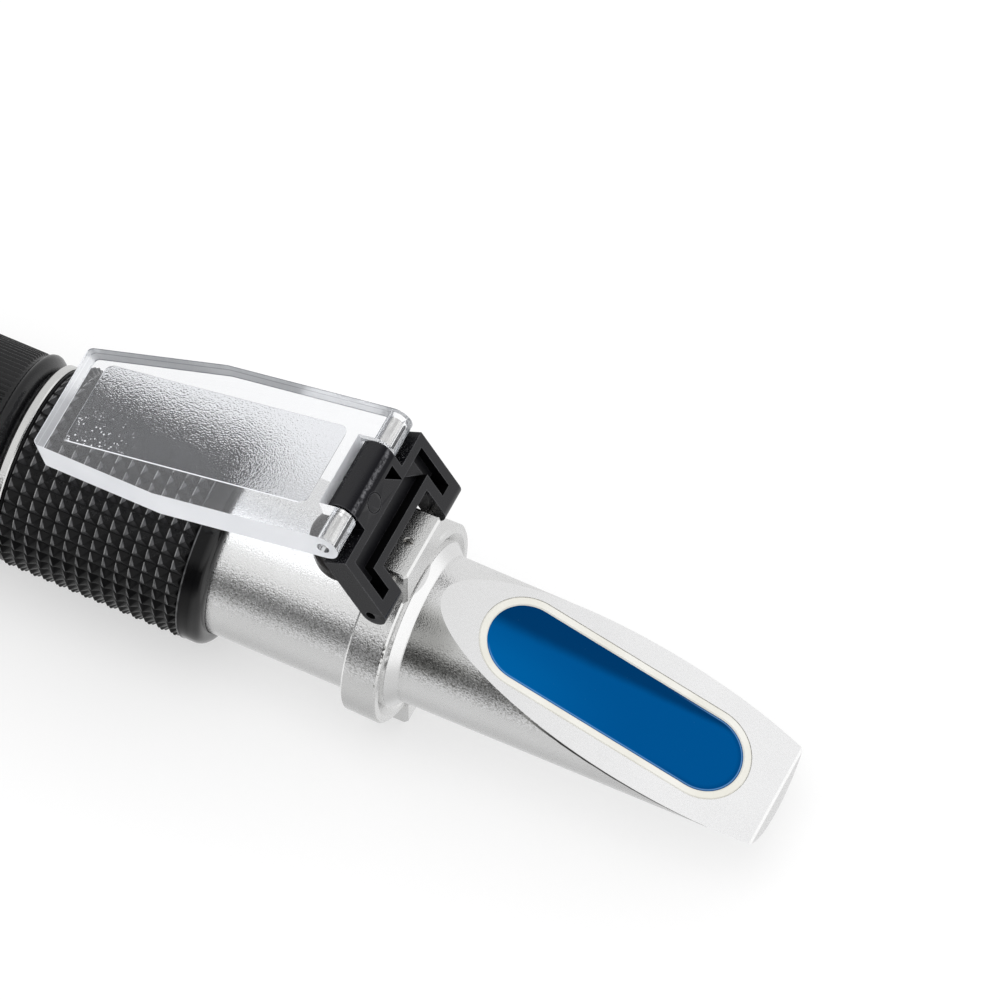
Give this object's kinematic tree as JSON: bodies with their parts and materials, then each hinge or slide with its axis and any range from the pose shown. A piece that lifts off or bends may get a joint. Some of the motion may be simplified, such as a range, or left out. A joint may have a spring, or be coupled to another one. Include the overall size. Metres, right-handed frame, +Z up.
{
  "type": "handheld refractometer",
  "caption": "Handheld optical refractometer: bevelled prism nose under a swing-over daylight plate, knurled grip, calibration screw and focusing eyepiece.",
  "frame": {"origin": "centre of the eyecup's mouth, on the optical axis", "axes": "+X along the optical axis towards the prism tip, +Z up on the prism and hinge side, +Y across"},
  "size_m": [0.1673, 0.0332, 0.0567],
  "materials": {
    "tube": "bead-blasted satin",
    "nose": "bead-blasted satin",
    "collar": "fine satin",
    "steel": "bright",
    "prism_glass": "polished",
    "seal": "matt",
    "brass": "turned",
    "black_anodised": "black anodised",
    "clear_glass": "polished",
    "rubber": "moulded",
    "eyecup_rubber": "soft",
    "cap_rubber": "smooth",
    "o_ring": "smooth",
    "black_plastic": "moulded",
    "acrylic": "clear with a frosted field",
    "bimetal": "rolled"
  },
  "bodies": {
    "body": {"main_tube": "tube", "hinge_collar": "collar", "collar_set_screws": "steel", "pivot_grub_screw": "steel", "bracket_pivot_pin": "steel", "prism_housing": "nose", "prism": "prism_glass", "prism_seal": "seal", "screw_bush": "brass", "light_baffle": "black_anodised", "reticle": "clear_glass", "reticle_cell": "black_anodised", "reticle_retainer": "black_anodised", "grip_sleeve": "rubber", "lock_ring": "tube", "focus_o_ring": "o_ring"},
    "hinge_bracket": {"bracket": "black_plastic", "hinge_pin": "steel"},
    "plate": {"daylight_plate": "acrylic"},
    "cap": {"calibration_cap": "cap_rubber"},
    "screw": {"calibration_screw": "steel"},
    "cradle": {"lens_cradle": "black_anodised", "objective_cell": "black_anodised", "objective_lens": "clear_glass", "objective_retainer": "black_anodised", "bimetal_strip": "bimetal", "strip_screw": "steel", "cradle_spring": "steel"},
    "focus_ring": {"focus_core": "black_anodised", "focus_sleeve": "rubber", "eyecup": "eyecup_rubber"},
    "ocular": {"ocular_barrel": "black_anodised", "field_lens": "clear_glass", "eye_lens": "clear_glass", "lens_spacer": "black_anodised", "ocular_retainer": "black_anodised", "focus_pin": "steel"}
  },
  "joints": [
    {"name": "bracket_pivot", "type": "hinge", "parent": "body", "child": "hinge_bracket", "pos_m": [0.10507, 0, 0.02026], "axis": [0, 1, 0], "range_deg": [0, 151.18]},
    {"name": "plate_hinge", "type": "hinge", "parent": "hinge_bracket", "child": "plate", "pos_m": [0.09705, 0, 0.0336], "axis": [0, 1, 0], "range_deg": [0, 62.02]},
    {"name": "cap_lift", "type": "slide", "parent": "body", "child": "cap", "axis": [0, 0, 1], "range_m": [0, 0.007]},
    {"name": "calibration_turn", "type": "hinge", "parent": "body", "child": "screw", "pos_m": [0.095, 0, 0.0125], "axis": [0, 0, 1], "range_deg": [-182, 182]},
    {"name": "cradle_shift", "type": "slide", "parent": "body", "child": "cradle", "axis": [0, 0, 1], "range_m": [-0.00025, 0.00025], "deforming": ["cradle_spring"]},
    {"name": "focus_turn", "type": "hinge", "parent": "body", "child": "focus_ring", "pos_m": [0.031, 0, 0], "axis": [1, 0, 0], "range_deg": [-150, 150]},
    {"name": "ocular_slide", "type": "slide", "parent": "body", "child": "ocular", "axis": [1, 0, 0], "range_m": [-0.00251, 0.00251]}
  ],
  "couplings": [
    {"joint": "calibration_turn", "follows": "cradle_shift", "rad_per_m": 12566},
    {"joint": "ocular_slide", "follows": "focus_turn", "m_per_rad": 0.00095493}
  ]
}
